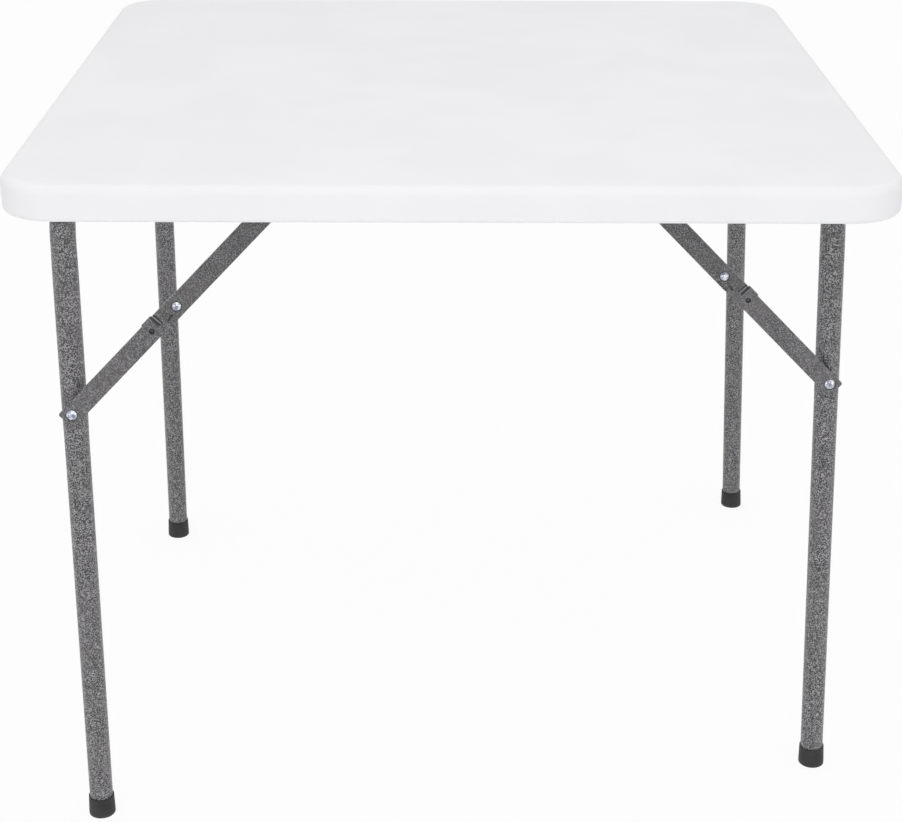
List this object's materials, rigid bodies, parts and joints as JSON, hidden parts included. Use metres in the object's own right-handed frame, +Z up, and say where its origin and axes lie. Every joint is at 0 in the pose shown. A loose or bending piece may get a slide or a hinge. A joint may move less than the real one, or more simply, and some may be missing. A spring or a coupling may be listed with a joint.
{
  "type": "folding card table",
  "caption": "Square folding card table: rounded moulded plastic top on two hinged tube leg frames, each locked open by a folding two-arm brace.",
  "frame": {"origin": "on the floor under the middle of the top", "axes": "+Z up; the front, where both braces are, faces -Y; +X to the right seen from the front"},
  "size_m": [0.864, 0.864, 0.73],
  "materials": {
    "moulded_plastic": "white blow-moulded polyethylene with a fine grain",
    "hammertone_paint": "gray hammertone powder coat",
    "black_rubber": "matte black rubber",
    "zinc": "bright zinc plate"
  },
  "bodies": {
    "table_top": {"moulded_top": "moulded_plastic", "left_front_saddle": "zinc", "left_back_saddle": "zinc", "left_saddle_screws": "zinc", "left_brace_anchor": "hammertone_paint", "left_anchor_screws": "zinc", "left_anchor_rivet": "zinc", "right_front_saddle": "zinc", "right_back_saddle": "zinc", "right_saddle_screws": "zinc", "right_brace_anchor": "hammertone_paint", "right_anchor_screws": "zinc", "right_anchor_rivet": "zinc"},
    "left_legs": {"left_leg_frame": "hammertone_paint", "left_front_foot_cap": "black_rubber", "left_back_foot_cap": "black_rubber", "left_leg_spacer": "zinc", "left_leg_rivet_stem": "zinc"},
    "left_upper_brace": {"left_upper_arm": "hammertone_paint", "left_knuckle_washer": "zinc", "left_knuckle_rivet": "zinc"},
    "left_lower_brace": {"left_lower_arm": "hammertone_paint", "left_leg_rivet": "zinc"},
    "right_legs": {"right_leg_frame": "hammertone_paint", "right_front_foot_cap": "black_rubber", "right_back_foot_cap": "black_rubber", "right_leg_spacer": "zinc", "right_leg_rivet_stem": "zinc"},
    "right_upper_brace": {"right_upper_arm": "hammertone_paint", "right_knuckle_washer": "zinc", "right_knuckle_rivet": "zinc"},
    "right_lower_brace": {"right_lower_arm": "hammertone_paint", "right_leg_rivet": "zinc"}
  },
  "joints": [
    {"name": "left_leg_fold", "type": "hinge", "parent": "table_top", "child": "left_legs", "pos_m": [-0.375, 0, 0.7081], "axis": [0, -1, 0], "range_deg": [0, 90.4]},
    {"name": "left_anchor_pivot", "type": "hinge", "parent": "table_top", "child": "left_upper_brace", "pos_m": [-0.166, -0.404, 0.7081], "axis": [0, 1, 0], "range_deg": [0, 46.61]},
    {"name": "left_knuckle_pivot", "type": "hinge", "parent": "left_upper_brace", "child": "left_lower_brace", "pos_m": [-0.26669, -0.404, 0.60162], "axis": [0, -1, 0], "range_deg": [0, 179.73]},
    {"name": "right_leg_fold", "type": "hinge", "parent": "table_top", "child": "right_legs", "pos_m": [0.386, 0, 0.7081], "axis": [0, 1, 0], "range_deg": [0, 92.3]},
    {"name": "right_anchor_pivot", "type": "hinge", "parent": "table_top", "child": "right_upper_brace", "pos_m": [0.1705, -0.305, 0.7081], "axis": [0, -1, 0], "range_deg": [0, 45.54]},
    {"name": "right_knuckle_pivot", "type": "hinge", "parent": "right_upper_brace", "child": "right_lower_brace", "pos_m": [0.27819, -0.305, 0.59838], "axis": [0, 1, 0], "range_deg": [0, 179.74]}
  ],
  "couplings": [
    {"joint": "left_anchor_pivot", "follows": "left_leg_fold", "ratio": 0.51549},
    {"joint": "left_knuckle_pivot", "follows": "left_leg_fold", "ratio": 1.9881},
    {"joint": "right_anchor_pivot", "follows": "right_leg_fold", "ratio": 0.49334},
    {"joint": "right_knuckle_pivot", "follows": "right_leg_fold", "ratio": 1.9472}
  ]
}
